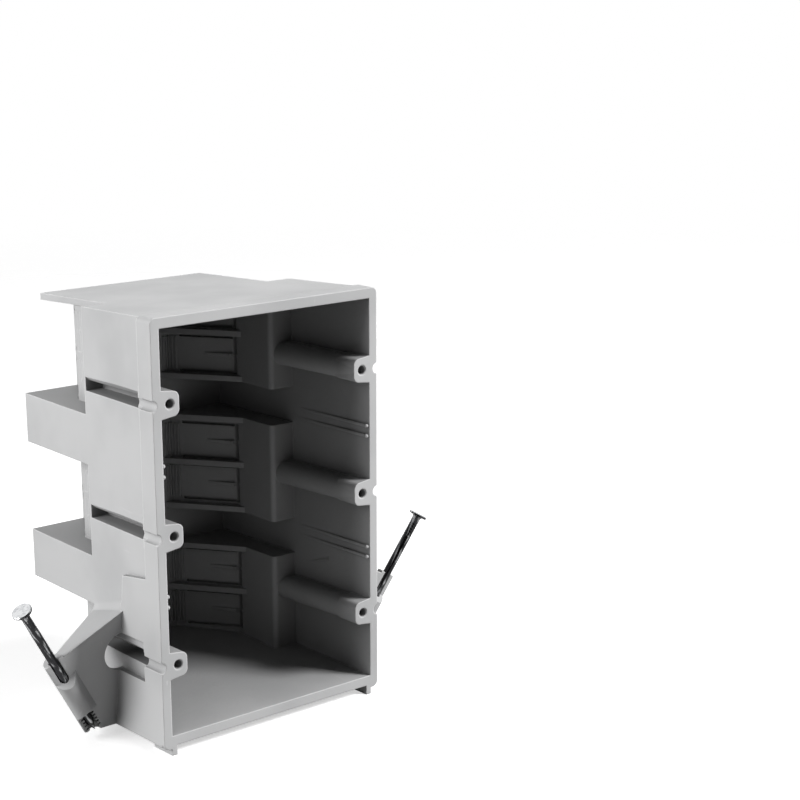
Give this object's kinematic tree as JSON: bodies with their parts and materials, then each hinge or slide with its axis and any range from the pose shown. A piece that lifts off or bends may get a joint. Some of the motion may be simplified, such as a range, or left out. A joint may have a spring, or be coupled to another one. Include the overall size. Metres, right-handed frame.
{
  "type": "new work outlet box",
  "caption": "Deep moulded plastic outlet box for several gangs, open at the front, with screw bosses, cable flaps in recessed pockets and captive slanted nails for a wall stud.",
  "frame": {"origin": "bottom centre of the bounding box, under the box's middle, at the tips of the depth tabs", "axes": "+X across each gang's pair of screws, +Y from the open front to the back, +Z along the row of gangs, away from the stud side"},
  "size_m": [0.1844, 0.09, 0.1546],
  "materials": {
    "pvc": "light grey moulded PVC with a slight satin sheen",
    "nail_steel": "bright zinc-plated wire"
  },
  "bodies": {
    "root": {"box_body": "pvc", "nail_left": "nail_steel", "nail_right": "nail_steel"}
  },
  "joints": []
}
